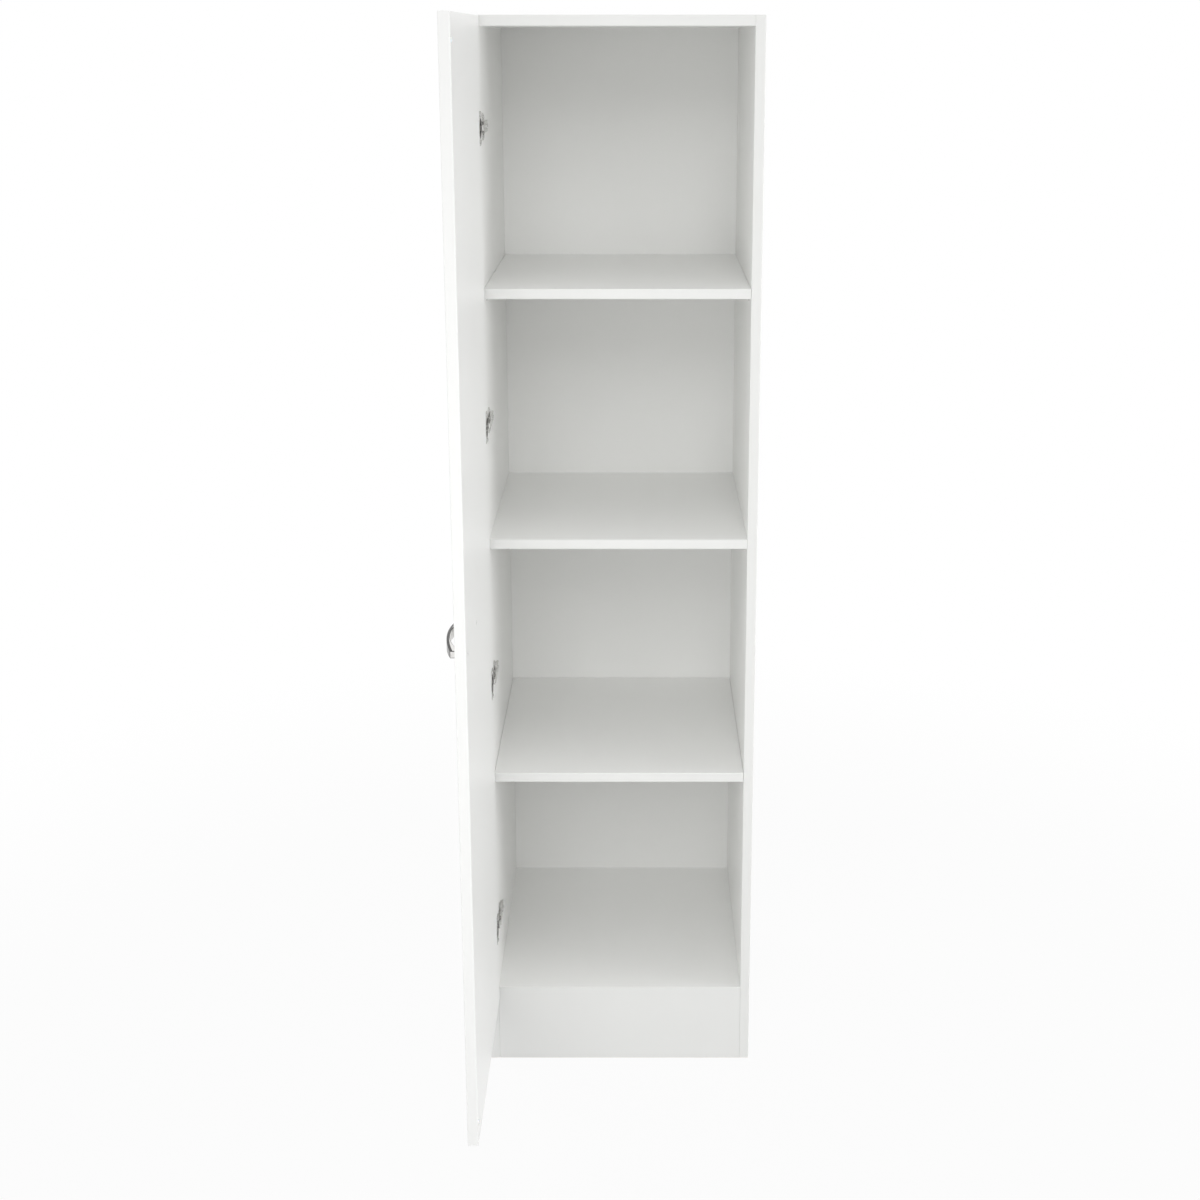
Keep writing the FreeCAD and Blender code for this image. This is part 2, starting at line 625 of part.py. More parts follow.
def door_panel():
    panel = box(DOOR_HINGE_EDGE, DOOR_FREE_EDGE, DOOR_OUTER, DOOR_INNER, DOOR_BOTTOM, DOOR_TOP)
    panel = soften(panel, lambda p: True)
    tools = []
    for height in HINGE_HEIGHTS.values():
        start = V(CUP_X, DOOR_INNER + OVERCUT, height)
        bore = CUP_RADIUS + CUP_BORE_CLEARANCE
        tools.append(rod(start, Y_AXIS * -1, bore, OVERCUT + CUP_DEPTH + CUP_BORE_CLEARANCE))
        for point in cup_screw_points(height):
            tools.append(screw_hole(point, Y_AXIS * -1, CUP_SCREW))
    for point in handle_screw_points():
        radius = HANDLE_SCREW[2] + HANDLE_BORE_CLEARANCE
        pocket = HANDLE_SCREW[0] + HANDLE_SCREW_POCKET_CLEARANCE
        tools.append(rod(point, Y_AXIS, pocket, HANDLE_SCREW_SINK + OVERCUT))
        tools.append(rod(point + Y_AXIS * OVERCUT, Y_AXIS * -1, radius, DOOR_THICKNESS + 2 * OVERCUT))
    return cut_all(panel, tools)


def arch(half_length, end_rise, mid_rise, base):
    """A closed plan outline: a circular arch over a chord, standing on the line y = base."""
    left, right = -half_length, half_length
    curve = Part.Arc(V(left, base - end_rise, 0), V(0, base - mid_rise, 0), V(right, base - end_rise, 0))
    edges = [curve.toShape()]
    if end_rise > 0:
        edges.append(Part.LineSegment(V(right, base - end_rise, 0), V(right, base, 0)).toShape())
        edges.append(Part.LineSegment(V(left, base, 0), V(left, base - end_rise, 0)).toShape())
    edges.append(Part.LineSegment(V(right, base, 0), V(left, base, 0)).toShape())
    return Part.Face(Part.Wire(Part.__sortEdges__(edges)))


def handle():
    """Arched bow in one casting: the plan arch meets an elevation that swells in the middle."""
    half = (HANDLE_HOLE_SPACING + HANDLE_FOOT) / 2
    tall = HANDLE_GRIP_WIDTH
    outer = arch(half, HANDLE_END_PROJECTION, HANDLE_PROJECTION, 0.0)
    inner = arch(half - HANDLE_FOOT, 0.0, HANDLE_PROJECTION - HANDLE_GRIP_THICKNESS, 0.0)
    bow = outer.extrude(V(0, 0, tall))
    bow = bow.cut(inner.extrude(V(0, 0, tall)))
    bow.translate(V(0, 0, -tall / 2))
    end, mid = HANDLE_END_WIDTH / 2, HANDLE_GRIP_WIDTH / 2
    upper = Part.Arc(V(-half, 0, end), V(0, 0, mid), V(half, 0, end)).toShape()
    lower = Part.Arc(V(half, 0, -end), V(0, 0, -mid), V(-half, 0, -end)).toShape()
    right = Part.LineSegment(V(half, 0, end), V(half, 0, -end)).toShape()
    left = Part.LineSegment(V(-half, 0, -end), V(-half, 0, end)).toShape()
    face = Part.Face(Part.Wire([upper, right, lower, left]))
    elevation = face.extrude(V(0, -2 * HANDLE_PROJECTION, 0))
    bow = bow.common(elevation)
    on_door = [e for e in bow.Edges if all(near(v.Point.y, 0.0) for v in e.Vertexes)]
    rounded = [e for e in bow.Edges if not any(e.isSame(d) for d in on_door)]
    bow = bow.makeFillet(HANDLE_ROUND, rounded)
    bow.translate(V(HANDLE_X, DOOR_OUTER, HANDLE_HEIGHT_ON_DOOR))
    tools = []
    for point in handle_screw_points():
        tools.append(screw_hole(point, Y_AXIS * -1, HANDLE_SCREW))
    return cut_all(bow, tools)


def handle_screws():
    screws = [screw(p, Y_AXIS * -1, HANDLE_SCREW) for p in handle_screw_points()]
    return Part.makeCompound(screws)


def door_buffers():
    """Two soft domed pads on the door's inner face, opposite the free side panel's edge."""
    x = WIDTH / 2 - BUFFER_INSET
    top = DOOR_INNER + BUFFER_THICKNESS
    pads = []
    for z in (DOOR_BOTTOM + BUFFER_END_INSET, DOOR_TOP - BUFFER_END_INSET):
        pad = rod(V(x, DOOR_INNER, z), Y_AXIS, BUFFER_RADIUS, BUFFER_THICKNESS)
        rim = [e for e in pad.Edges if all(near(v.Point.y, top) for v in e.Vertexes)]
        pads.append(pad.makeFillet(BUFFER_ROUND, rim))
    return Part.makeCompound(pads)


# ---------------------------------------------------------------- assembly


def build():
    """Every sub-part by name: the fixed ones, then those that swing with the door."""
    fixed = {
        "side_panel_left": side_panel(-1),
        "side_panel_right": side_panel(1),
        "top_panel": top_panel(),
        "bottom_panel": bottom_panel(),
        "plinth_board": plinth_board(),
        "back_panel": back_panel(),
        "cam_locks": cam_locks(),
        "cam_bolts": cam_bolts(),
        "dowels": dowels(),
        "back_nails": back_nails(),
        "shelf_pins": shelf_pins(),
        "plate_screws": plate_screws(),
        "arm_screws": arm_screws(),
    }
    for name in SHELF_TOPS:
        fixed["shelf_" + name] = shelf(name)
    swinging = {
        "door_panel": door_panel(),
        "handle": handle(),
        "handle_screws": handle_screws(),
        "door_buffers": door_buffers(),
        "hinge_pins": hinge_pins(),
        "cup_screws": cup_screws(),
    }
    for name, height in HINGE_HEIGHTS.items():
        fixed["hinge_plate_" + name] = hinge_plate(height)
        fixed["hinge_arm_" + name] = hinge_arm(height)
        swinging["hinge_cup_" + name] = hinge_cup(height)
    pivot = V(PIVOT_X, PIVOT_Y, 0)
    for shape in swinging.values():
        shape.rotate(pivot, Z_AXIS, -DOOR_OPEN_ANGLE)
    return {**fixed, **swinging}


os.makedirs("parts", exist_ok=True)
for node, solid in build().items():
    solid.exportStep("parts/" + node + ".step")
    print(node, "solids", len(solid.Solids), "volume", round(solid.Volume), "valid", solid.isValid())
print("door pivot", PIVOT_X, PIVOT_Y)
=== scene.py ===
import json
import math
import bpy
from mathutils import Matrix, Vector


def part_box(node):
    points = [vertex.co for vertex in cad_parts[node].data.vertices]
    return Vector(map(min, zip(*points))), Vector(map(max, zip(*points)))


# Broom cupboard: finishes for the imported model's nodes, and the floor, lamps and camera around it.

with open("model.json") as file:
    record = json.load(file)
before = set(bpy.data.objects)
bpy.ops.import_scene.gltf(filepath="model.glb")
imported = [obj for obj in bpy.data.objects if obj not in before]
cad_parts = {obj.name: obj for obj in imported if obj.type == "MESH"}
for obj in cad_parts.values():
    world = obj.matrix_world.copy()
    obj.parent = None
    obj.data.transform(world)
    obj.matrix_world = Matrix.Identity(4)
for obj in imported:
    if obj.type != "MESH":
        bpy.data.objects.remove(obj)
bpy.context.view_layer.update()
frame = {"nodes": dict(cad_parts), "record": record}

MM = 0.001

# ---------------------------------------------------------------- sizes read from the frame (metres)

SIDE_LOW, SIDE_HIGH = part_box("side_panel_left")
FRONT = SIDE_LOW[1]
BACK = SIDE_HIGH[1]
DOOR_LOW, DOOR_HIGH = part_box("door_panel")
HANDLE_LOW, HANDLE_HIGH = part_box("handle")
BACK_PANEL_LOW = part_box("back_panel")[0]


# ---------------------------------------------------------------- small helpers for node trees


def new_material(name):
    """A new material with its output and one Principled shader; also its node tree and shader."""
    material = bpy.data.materials.new(name)
    material.use_nodes = True
    tree = material.node_tree
    return material, tree, tree.nodes["Principled BSDF"]


def put(tree, kind, **settings):
    """Adds a node. A setting that starts with a capital letter is the plain value of the input of
    that name, with underscores for its spaces. Any other setting is an attribute of the node."""
    node = tree.nodes.new(kind)
    for key, value in settings.items():
        if key[0].isupper():
            node.inputs[key.replace("_", " ")].default_value = value
        else:
            setattr(node, key, value)
    return node


def link(tree, source, socket):
    """Joins a node's output to another node's input."""
    tree.links.new(source, socket)


def math_node(tree, operation, first, second=None, third=None, clamp=False):
    """A Math node fed by outputs or plain numbers; returns its output."""
    node = put(tree, "ShaderNodeMath", operation=operation, use_clamp=clamp)
    for socket, value in zip(node.inputs, (first, second, third)):
        if value is None:
            continue
        if isinstance(value, (int, float)):
            socket.default_value = value
        else:
            link(tree, value, socket)
    return node.outputs[0]


def ramp(tree, value, low, high, to_low=0.0, to_high=1.0):
    """Smooth step of a value: to_low up to the low limit, to_high from the high limit on."""
    node = put(tree, "ShaderNodeMapRange", interpolation_type="SMOOTHSTEP",
               From_Min=low, From_Max=high, To_Min=to_low, To_Max=to_high)
    link(tree, value, node.inputs["Value"])
    return node.outputs["Result"]


def swing(tree, pattern, amount, base):
    """base + amount * (pattern - 0.5), for a pattern that runs from 0 to 1."""
    return math_node(tree, "MULTIPLY_ADD", math_node(tree, "SUBTRACT", pattern, 0.5), amount, base)


def mix_colour(tree, factor, first, second):
    """Mixes two colours, each an output or a plain RGB triple, by a factor that is an output."""
    node = put(tree, "ShaderNodeMix", data_type="RGBA")
    for name, value in (("Factor_Float", factor), ("A_Color", first), ("B_Color", second)):
        socket = next(s for s in node.inputs if s.identifier == name)
        if isinstance(value, tuple):
            socket.default_value = (*value, 1.0)
        else:
            link(tree, value, socket)
    return next(s for s in node.outputs if s.identifier == "Result_Color")


def object_place(tree):
    """The Object coordinate, in metres."""
    return tree.nodes.new("ShaderNodeTexCoord").outputs["Object"]


def axes(tree, vector):
    """The x, y and z parts of a vector."""
    node = tree.nodes.new("ShaderNodeSeparateXYZ")
    link(tree, vector, node.inputs[0])
    return tuple(node.outputs)


def stretched(tree, place, scale):
    """The place with each axis scaled, for streaked patterns."""
    node = put(tree, "ShaderNodeMapping", Scale=scale)
    link(tree, place, node.inputs["Vector"])
    return node.outputs["Vector"]


def noise(tree, place, scale, detail=2.0, roughness=0.5):
    """A soft random pattern from 0 to 1; the scale is how many waves a unit of the place holds."""
    node = put(tree, "ShaderNodeTexNoise", Scale=scale, Detail=detail, Roughness=roughness)
    link(tree, place, node.inputs["Vector"])
    return node.outputs["Fac"]


def dress(tree, shader, colour, roughness, height, relief, strength):
    """Feeds a shader's colour and roughness, and a bump of the given relief in metres."""
    link(tree, colour, shader.inputs["Base Color"])
    link(tree, roughness, shader.inputs["Roughness"])
    node = put(tree, "ShaderNodeBump", Strength=strength, Distance=relief)
    link(tree, height, node.inputs["Height"])
    link(tree, node.outputs["Normal"], shader.inputs["Normal"])


# ---------------------------------------------------------------- shared effects


def new_group(name, inputs, outputs):
    """An empty shader node group; each input is (name, socket type, default value) and each output
    is (name, socket type)."""
    group = bpy.data.node_groups.new(name, "ShaderNodeTree")
    for socket_name, kind, default in inputs:
        socket = group.interface.new_socket(socket_name, in_out="INPUT", socket_type=kind)
        socket.default_value = default
    for socket_name, kind in outputs:
        group.interface.new_socket(socket_name, in_out="OUTPUT", socket_type=kind)
    return group, group.nodes.new("NodeGroupInput"), group.nodes.new("NodeGroupOutput")


def place_group(tree, group, **values):
    """Places a group's node in a tree, with the plain values of its inputs."""
    return put(tree, "ShaderNodeGroup", node_tree=group, **values)


# White laminate: waves per metre of its patterns, and how far they move the tone and the roughness
CLOUD_SCALE = 2.3
SPECKLE_SCALE = 650.0
PEEL_SCALE = 1400.0
WIPE_STRETCH = (9.0, 9.0, 1.6)
CLOUD_TONE = 0.035
SPECKLE_TONE = 0.03
WIPE_ROUGHNESS = 0.16


def laminate_group():
    """White board surface: faint cloudy tone, fine speckle, roughness drift and orange-peel height."""
    group, given, gives = new_group(
        "laminate surface",
        [("Colour", "NodeSocketColor", (0.9, 0.9, 0.9, 1.0)), ("Roughness", "NodeSocketFloat", 0.4),
         ("Grain", "NodeSocketFloat", 1.0)],
        [("Colour", "NodeSocketColor"), ("Roughness", "NodeSocketFloat"), ("Height", "NodeSocketFloat")],
    )
    place = object_place(group)
    cloud = noise(group, place, CLOUD_SCALE, detail=3.0)
    speckle = noise(group, place, SPECKLE_SCALE)
    peel = noise(group, place, PEEL_SCALE, detail=1.0)
    wipe = noise(group, stretched(group, place, WIPE_STRETCH), 1.0, detail=4.0)
    tone = swing(group, speckle, SPECKLE_TONE, swing(group, cloud, CLOUD_TONE, 1.0))
    toned = put(group, "ShaderNodeVectorMath", operation="SCALE")
    link(group, given.outputs["Colour"], toned.inputs[0])
    link(group, tone, toned.inputs["Scale"])
    link(group, toned.outputs["Vector"], gives.inputs["Colour"])
    link(group, swing(group, wipe, WIPE_ROUGHNESS, given.outputs["Roughness"]), gives.inputs["Roughness"])
    height = math_node(group, "MULTIPLY", math_node(group, "ADD", peel, speckle), given.outputs["Grain"])
    link(group, height, gives.inputs["Height"])
    return group


# Raw chipboard: chips per metre along each axis, the splinters between them, and the wood tones
CHIP_STRETCH = (420.0, 420.0, 900.0)
SPLINTER_SCALE = 900.0
SPLINTER_LIMITS = (0.35, 0.75)
CHIP_LIGHT = (0.60, 0.44, 0.27)
CHIP_DARK = (0.40, 0.27, 0.15)
SPLINTER_PALE = (0.70, 0.56, 0.38)


def chipboard_group():
    """Raw chipboard edge: pale and dark wood chips pressed together."""
    group, _, gives = new_group(
        "raw chipboard", [], [("Colour", "NodeSocketColor"), ("Height", "NodeSocketFloat")])
    place = object_place(group)
    cells = put(group, "ShaderNodeTexVoronoi", Scale=1.0, Randomness=1.0)
    link(group, stretched(group, place, CHIP_STRETCH), cells.inputs["Vector"])
    shade = axes(group, cells.outputs["Color"])[0]
    splinters = noise(group, place, SPLINTER_SCALE, detail=3.0)
    chips = mix_colour(group, shade, CHIP_LIGHT, CHIP_DARK)
    chips = mix_colour(group, ramp(group, splinters, *SPLINTER_LIMITS), chips, SPLINTER_PALE)
    link(group, chips, gives.inputs["Colour"])
    link(group, math_node(group, "ADD", cells.outputs["Distance"], splinters), gives.inputs["Height"])
    return group


# Plated metal: waves per metre of its patterns, and how far they move the roughness
PATCH_SCALE = 160.0
PATCH_LIMITS = (0.45, 0.75)
STREAK_STRETCH = (2600.0, 300.0, 2600.0)
STREAK_ROUGHNESS = 0.18
PATCH_ROUGHNESS = 0.12


def plated_group():
    """Plated metal: fine polishing streaks and small dull patches."""
    group, given, gives = new_group(
        "plated metal",
        [("Colour", "NodeSocketColor", (0.7, 0.7, 0.7, 1.0)),
         ("Dull Colour", "NodeSocketColor", (0.4, 0.4, 0.4, 1.0)),
         ("Roughness", "NodeSocketFloat", 0.3), ("Dullness", "NodeSocketFloat", 0.3)],
        [("Colour", "NodeSocketColor"), ("Roughness", "NodeSocketFloat"), ("Height", "NodeSocketFloat")],
    )
    place = object_place(group)
    patches = ramp(group, noise(group, place, PATCH_SCALE, detail=4.0, roughness=0.6), *PATCH_LIMITS)
    streaks = noise(group, stretched(group, place, STREAK_STRETCH), 1.0)
    dulled = math_node(group, "MULTIPLY", patches, given.outputs["Dullness"])
    colour = mix_colour(group, dulled, given.outputs["Colour"], given.outputs["Dull Colour"])
    link(group, colour, gives.inputs["Colour"])
    rough = swing(group, streaks, STREAK_ROUGHNESS, given.outputs["Roughness"])
    rough = math_node(group, "MULTIPLY_ADD", patches, PATCH_ROUGHNESS, rough, clamp=True)
    link(group, rough, gives.inputs["Roughness"])
    link(group, streaks, gives.inputs["Height"])
    return group


# Rounded edges: rays that look for an edge, and how far the rounded normal leaves the plain one
# (1 - cosine) where the mask starts and where it is full
EDGE_SAMPLES = 4
EDGE_TURN = (0.004, 0.06)


def edge_group():
    """Mask that is one along a part's edges and zero on its open faces; the reach is how far in
    from the edge it starts, in metres."""
    group, given, gives = new_group(
        "rounded edges", [("Reach", "NodeSocketFloat", 1.0 * MM)], [("Mask", "NodeSocketFloat")])
    rounded = put(group, "ShaderNodeBevel", samples=EDGE_SAMPLES)
    link(group, given.outputs["Reach"], rounded.inputs["Radius"])
    plain = group.nodes.new("ShaderNodeNewGeometry")
    cosine = put(group, "ShaderNodeVectorMath", operation="DOT_PRODUCT")
    link(group, rounded.outputs["Normal"], cosine.inputs[0])
    link(group, plain.outputs["Normal"], cosine.inputs[1])
    turn = math_node(group, "SUBTRACT", 1.0, cosine.outputs["Value"])
    link(group, ramp(group, turn, *EDGE_TURN), gives.inputs["Mask"])
    return group


LAMINATE = laminate_group()
CHIPBOARD = chipboard_group()
PLATED = plated_group()
EDGES = edge_group()


# ---------------------------------------------------------------- boards

BOARD_WHITE = (0.966, 0.968, 0.952)
BAND_WHITE = (0.840, 0.844, 0.828)
DOOR_WHITE = (0.962, 0.964, 0.952)
DOOR_BAND_WHITE = (0.925, 0.928, 0.915)
SEAM_GREY = (0.62, 0.61, 0.58)
SEAM_STRENGTH = 0.6
BAND_THICKNESS = 1.0 * MM
SEAM_WIDTH = 0.12 * MM
# Raw chipboard shows within this depth of the rear and floor edges, with its relief this many times
# as strong as the laminate's
RAW_SKIN = 0.3 * MM
RAW_RELIEF = 6.0
# What each place adds to the roughness of the laminate
BAND_ROUGHNESS = -0.10
RAW_ROUGHNESS = 0.50
DOOR_BAND_ROUGHNESS = -0.06
FIBRE_ROUGHNESS = 0.30


def banded(tree, depth, face, band_white):
    """The face's colour with an edge band and the glue seam behind it, from the depth below the
    board's edge; also the band's mask."""
    band = ramp(tree, depth, BAND_THICKNESS - SEAM_WIDTH, BAND_THICKNESS, to_low=1.0, to_high=0.0)
    past = ramp(tree, depth, BAND_THICKNESS, BAND_THICKNESS + SEAM_WIDTH, to_low=1.0, to_high=0.0)
    seam = math_node(tree, "SUBTRACT", past, band)
    colour = mix_colour(tree, band, face.outputs["Colour"], band_white)
    colour = mix_colour(tree, math_node(tree, "MULTIPLY", seam, SEAM_STRENGTH), colour, SEAM_GREY)
    return colour, band


def carcass_board():
    """White laminate with a banded front edge and raw chipboard on the rear and floor edges."""
    material, tree, shader = new_material("carcass_board")
    _, y, z = axes(tree, object_place(tree))
    face = place_group(tree, LAMINATE, Colour=(*BOARD_WHITE, 1.0), Roughness=0.42, Grain=1.0)
    chips = place_group(tree, CHIPBOARD)
    colour, band = banded(tree, math_node(tree, "SUBTRACT", y, FRONT), face, BAND_WHITE)
    rear = math_node(tree, "GREATER_THAN", y, BACK - RAW_SKIN)
    floor_edge = math_node(tree, "LESS_THAN", z, RAW_SKIN)
    raw = math_node(tree, "MAXIMUM", rear, floor_edge)
    colour = mix_colour(tree, raw, colour, chips.outputs["Colour"])
    rough = math_node(tree, "MULTIPLY_ADD", band, BAND_ROUGHNESS, face.outputs["Roughness"])
    rough = math_node(tree, "MULTIPLY_ADD", raw, RAW_ROUGHNESS, rough, clamp=True)
    height = math_node(tree, "MULTIPLY_ADD", math_node(tree, "MULTIPLY", raw, RAW_RELIEF),
                       chips.outputs["Height"], face.outputs["Height"])
    dress(tree, shader, colour, rough, height, relief=0.03 * MM, strength=0.35)
    return material


def nearer(tree, value, low, high):
    """How far a coordinate is inside the nearer of two limits."""
    return math_node(tree, "MINIMUM", math_node(tree, "SUBTRACT", value, low),
                     math_node(tree, "SUBTRACT", high, value))


def door_board():
    """White foil-faced slab with a band and its seam round all four edges."""
    material, tree, shader = new_material("door_board")
    _, y, z = axes(tree, object_place(tree))
    depth = math_node(tree, "MINIMUM", nearer(tree, y, DOOR_LOW[1], DOOR_HIGH[1]),
                      nearer(tree, z, DOOR_LOW[2], DOOR_HIGH[2]))
    face = place_group(tree, LAMINATE, Colour=(*DOOR_WHITE, 1.0), Roughness=0.36, Grain=0.6)
    colour, band = banded(tree, depth, face, DOOR_BAND_WHITE)
    rough = math_node(tree, "MULTIPLY_ADD", band, DOOR_BAND_ROUGHNESS, face.outputs["Roughness"])
    dress(tree, shader, colour, rough, face.outputs["Height"], relief=0.02 * MM, strength=0.3)
    return material


# Hardboard: the depth of its white skin, and the waves per metre, limits, shares and tones of the
# patterns on its bare rear
LACQUER_SKIN = 0.4 * MM
FIBRE_SCALE = 700.0
FIBRE_LIMITS = (0.3, 0.7)
FIBRE_DARK = (0.27, 0.17, 0.10)
FIBRE_LIGHT = (0.40, 0.28, 0.18)
TUFT_STRETCH = (150.0, 150.0, 60.0)
TUFT_LIMITS = (0.45, 0.75)
TUFT_SHARE = 0.5
TUFT_PALE = (0.44, 0.32, 0.21)
STAIN_SCALE = 9.0
STAIN_LIMITS = (0.35, 0.75)
STAIN_SHARE = 0.16
STAIN_DARK = (0.20, 0.125, 0.075)


def back_board():
    """Thin hardboard: white lacquer inside the cupboard, bare brown fibre on the rear face."""
    material, tree, shader = new_material("back_board")
    place = object_place(tree)
    rear = math_node(tree, "GREATER_THAN", axes(tree, place)[1], BACK_PANEL_LOW[1] + LACQUER_SKIN)
    face = place_group(tree, LAMINATE, Colour=(*BOARD_WHITE, 1.0), Roughness=0.5, Grain=1.4)
    fibre = noise(tree, place, FIBRE_SCALE, detail=4.0, roughness=0.65)
    tufts = noise(tree, stretched(tree, place, TUFT_STRETCH), 1.0, detail=4.0, roughness=0.7)
    stains = noise(tree, place, STAIN_SCALE, detail=3.0)
    brown = mix_colour(tree, ramp(tree, fibre, *FIBRE_LIMITS), FIBRE_DARK, FIBRE_LIGHT)
    brown = mix_colour(tree, ramp(tree, tufts, *TUFT_LIMITS, to_high=TUFT_SHARE), brown, TUFT_PALE)
    brown = mix_colour(tree, ramp(tree, stains, *STAIN_LIMITS, to_high=STAIN_SHARE), brown, STAIN_DARK)
    colour = mix_colour(tree, rear, face.outputs["Colour"], brown)
    rough = math_node(tree, "MULTIPLY_ADD", rear, FIBRE_ROUGHNESS, face.outputs["Roughness"], clamp=True)
    height = math_node(tree, "ADD", face.outputs["Height"], fibre)
    dress(tree, shader, colour, rough, height, relief=0.03 * MM, strength=0.4)
    return material


# ---------------------------------------------------------------- metals


def plated(name, clean, dull, edge, reach, roughness, dullness, painted_reflection=None):
    """A plated metal: clean faces with dull patches, and painted dark reflection on the edges, which
    reaches the given length in. darkened, a function of the node tree, may add a second mask of painted
    dark reflection, as dark as the edges."""
    material, tree, shader = new_material(name)
    shader.inputs["Metallic"].default_value = 1.0
    surface = place_group(tree, PLATED, Colour=(*clean, 1.0), Dull_Colour=(*dull, 1.0),
                          Roughness=roughness, Dullness=dullness)
    # Painted reflection: the dark edge colour along the rounded edges, and in the second mask, stands in
    # for darker surroundings mirrored there.
    dark = place_group(tree, EDGES, Reach=reach).outputs["Mask"]
    if painted_reflection is not None:
        dark = math_node(tree, "MAXIMUM", dark, painted_reflection(tree))
    colour = mix_colour(tree, dark, surface.outputs["Colour"], edge)
    dress(tree, shader, colour, surface.outputs["Roughness"], surface.outputs["Height"],
          relief=0.02 * MM, strength=0.3)
    return material


# How far the grip's outer side stands off the door at the handle's ends
HANDLE_END_RISE = 10.0 * MM
# The painted dark reflection on the grip's outer side ends between these depths under that side
GRIP_DEPTH = (3.9 * MM, 4.5 * MM)
# It also ends where the surface turns to face along the handle, between these parts of its normal
END_TURN = (0.5, 0.8)
# Rounded corners with painted dark reflection, by the upward and the lengthwise part of the normal, as
# limits for between()
LEVEL_CORNER = (0.08, 0.25, 0.94, 0.99)
UPRIGHT_CORNER = (0.50, 0.60, 0.94, 0.99)


def grip_depth(tree, x, y):
    """How far a point of the handle lies under the grip's outer side, in metres. That side is an arc
    over the chord between the handle's ends, so the depth is R - |point - centre| with
    R = (half chord^2 + sag^2) / (2 sag)."""
    half = (HANDLE_HIGH[1] - HANDLE_LOW[1]) / 2
    sag = DOOR_LOW[0] - HANDLE_LOW[0] - HANDLE_END_RISE
    radius = (half ** 2 + sag ** 2) / (2 * sag)
    along = math_node(tree, "SUBTRACT", y, HANDLE_LOW[1] + half)
    out = math_node(tree, "SUBTRACT", HANDLE_LOW[0] + radius, x)
    spread = math_node(tree, "MULTIPLY_ADD", along, along, math_node(tree, "MULTIPLY", out, out))
    return math_node(tree, "SUBTRACT", radius, math_node(tree, "SQRT", spread))


def between(tree, value, limits):
    """One where a value lies between the two middle limits, fading to zero at the outer two."""
    rise = ramp(tree, value, limits[0], limits[1])
    fall = ramp(tree, value, limits[2], limits[3], to_low=1.0, to_high=0.0)
    return math_node(tree, "MULTIPLY", rise, fall)


def grip_painted_reflection(tree):
    """Mask of painted dark reflection: one on the grip's outer, upper and lower sides and on every rounded
    corner of the handle; zero on its ends, its feet and the side that faces the door."""
    coordinates = tree.nodes.new("ShaderNodeTexCoord")
    x, y, _ = axes(tree, coordinates.outputs["Object"])
    _, facing_along, facing_up = axes(tree, coordinates.outputs["Normal"])
    along = math_node(tree, "ABSOLUTE", facing_along)
    upward = math_node(tree, "ABSOLUTE", facing_up)
    corner = math_node(tree, "MAXIMUM", between(tree, upward, LEVEL_CORNER),
                       between(tree, along, UPRIGHT_CORNER))
    shell = ramp(tree, grip_depth(tree, x, y), *GRIP_DEPTH, to_low=1.0, to_high=0.0)
    grip = math_node(tree, "MULTIPLY", shell, ramp(tree, along, *END_TURN, to_low=1.0, to_high=0.0))
    return math_node(tree, "MAXIMUM", corner, grip)


def handle_metal():
    """Nickel bow handle: bright ends and inner side, and painted dark reflection on the grip and along the
    rounded edges.
    """
    return plated("handle_metal", clean=(0.82, 0.81, 0.79), dull=(0.50, 0.49, 0.47),
                  edge=(0.045, 0.044, 0.042), reach=1.2 * MM, roughness=0.20, dullness=0.40,
                  painted_reflection=grip_painted_reflection)


def hinge_steel():
    """Bright nickel-plated sheet of the hinges' cups, arms, plates and pins, with painted dark reflection
    along the rounded edges.
    """
    return plated("hinge_steel", clean=(0.77, 0.765, 0.75), dull=(0.56, 0.55, 0.53),
                  edge=(0.14, 0.138, 0.132), reach=0.8 * MM, roughness=0.20, dullness=0.35)


def screw_steel():
    """Zinc-plated steel of the screws, cam bolts, shelf pins and nails, with painted dark reflection along
    the rounded edges.
    """
    return plated("screw_steel", clean=(0.78, 0.78, 0.77), dull=(0.52, 0.52, 0.51),
                  edge=(0.18, 0.18, 0.18), reach=0.6 * MM, roughness=0.25, dullness=0.40)


def cam_zinc():
    """Grey cast zinc of the cam locks, with painted dark reflection along the rounded edges."""
    return plated("cam_zinc", clean=(0.60, 0.61, 0.62), dull=(0.42, 0.43, 0.44),
                  edge=(0.28, 0.28, 0.29), reach=0.8 * MM, roughness=0.40, dullness=0.70)


# ---------------------------------------------------------------- dowels and buffers

# Waves per metre, limits and tones of the beech and of the milky plastic, and how deep light goes
# into the plastic
FLECK_STRETCH = (60.0, 900.0, 900.0)
FLECK_LIMITS = (0.2, 0.8)
BEECH_PALE = (0.78, 0.60, 0.40)
BEECH_DARK = (0.60, 0.42, 0.26)

MILK_SCALE = 500.0
MILK_LIMITS = (0.2, 0.8)
MILK_PALE = (0.90, 0.90, 0.89)
MILK_DARK = (0.82, 0.83, 0.82)
MILK_WEIGHT = 0.3
MILK_DEPTH = 2.0 * MM


def dowel_beech():
    """Raw beech with short flecks from side to side of the cupboard, the way most of the pegs lie."""
    material, tree, shader = new_material("dowel_beech")
    flecks = noise(tree, stretched(tree, object_place(tree), FLECK_STRETCH), 1.0, detail=3.0)
    colour = mix_colour(tree, flecks, BEECH_PALE, BEECH_DARK)
    rough = ramp(tree, flecks, *FLECK_LIMITS, to_low=0.5, to_high=0.7)
    dress(tree, shader, colour, rough, flecks, relief=0.05 * MM, strength=0.4)
    return material


